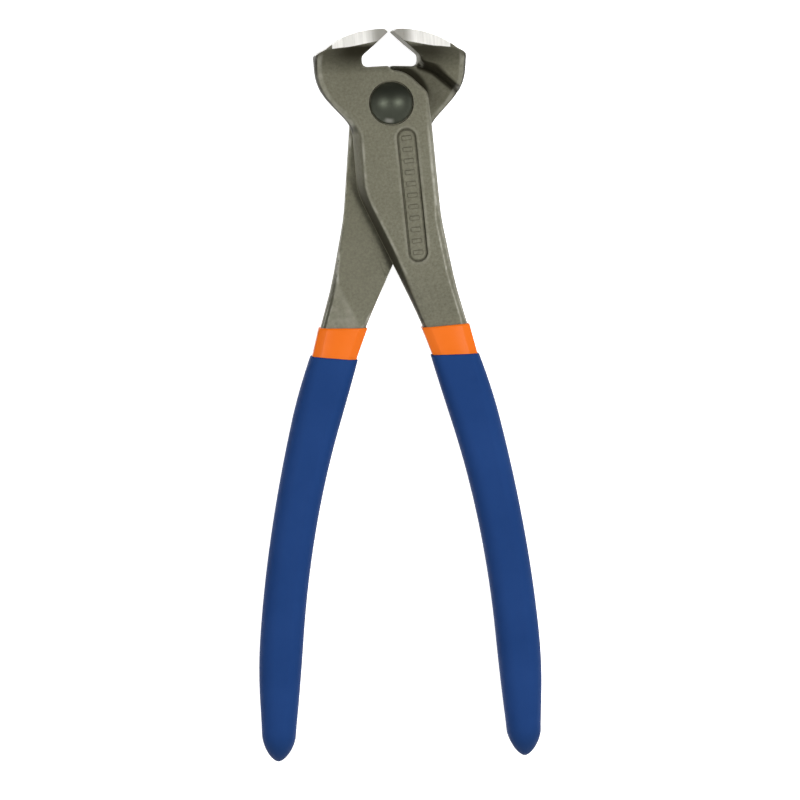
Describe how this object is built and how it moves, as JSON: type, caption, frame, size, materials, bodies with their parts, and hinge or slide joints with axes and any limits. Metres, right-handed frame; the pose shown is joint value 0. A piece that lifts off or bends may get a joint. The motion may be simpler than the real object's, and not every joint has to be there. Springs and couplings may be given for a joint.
{
  "type": "end cutting nippers",
  "caption": "End cutting nippers: forged lap-joint levers with wide flared jaws that meet in a cutting edge across the end, a domed rivet pivot and bowed dipped grips with a bare band.",
  "frame": {"origin": "on the pivot axis, at the flat back face of the lap joint", "axes": "+Y along the tool towards the jaws' cutting edge, +X to the right jaw's side as seen from the rivet's head, +Z along the pivot axis towards the rivet's head"},
  "size_m": [0.0774, 0.2, 0.023],
  "materials": {
    "forged_steel": "blasted grey forging with ground jaw facets",
    "rivet_steel": "dark, smooth and glossy",
    "orange_dip": "glossy dipped vinyl",
    "blue_dip": "satin dipped vinyl"
  },
  "bodies": {
    "back_half": {"back_lever": "forged_steel", "pivot_rivet": "rivet_steel", "left_grip_liner": "orange_dip", "left_grip_cover": "blue_dip"},
    "front_half": {"front_lever": "forged_steel", "right_grip_liner": "orange_dip", "right_grip_cover": "blue_dip"}
  },
  "joints": [
    {"name": "pivot", "type": "hinge", "parent": "back_half", "child": "front_half", "pos_m": [0, 0, 0.0065], "axis": [0, 0, 1], "range_deg": [-4.2, 40]}
  ]
}
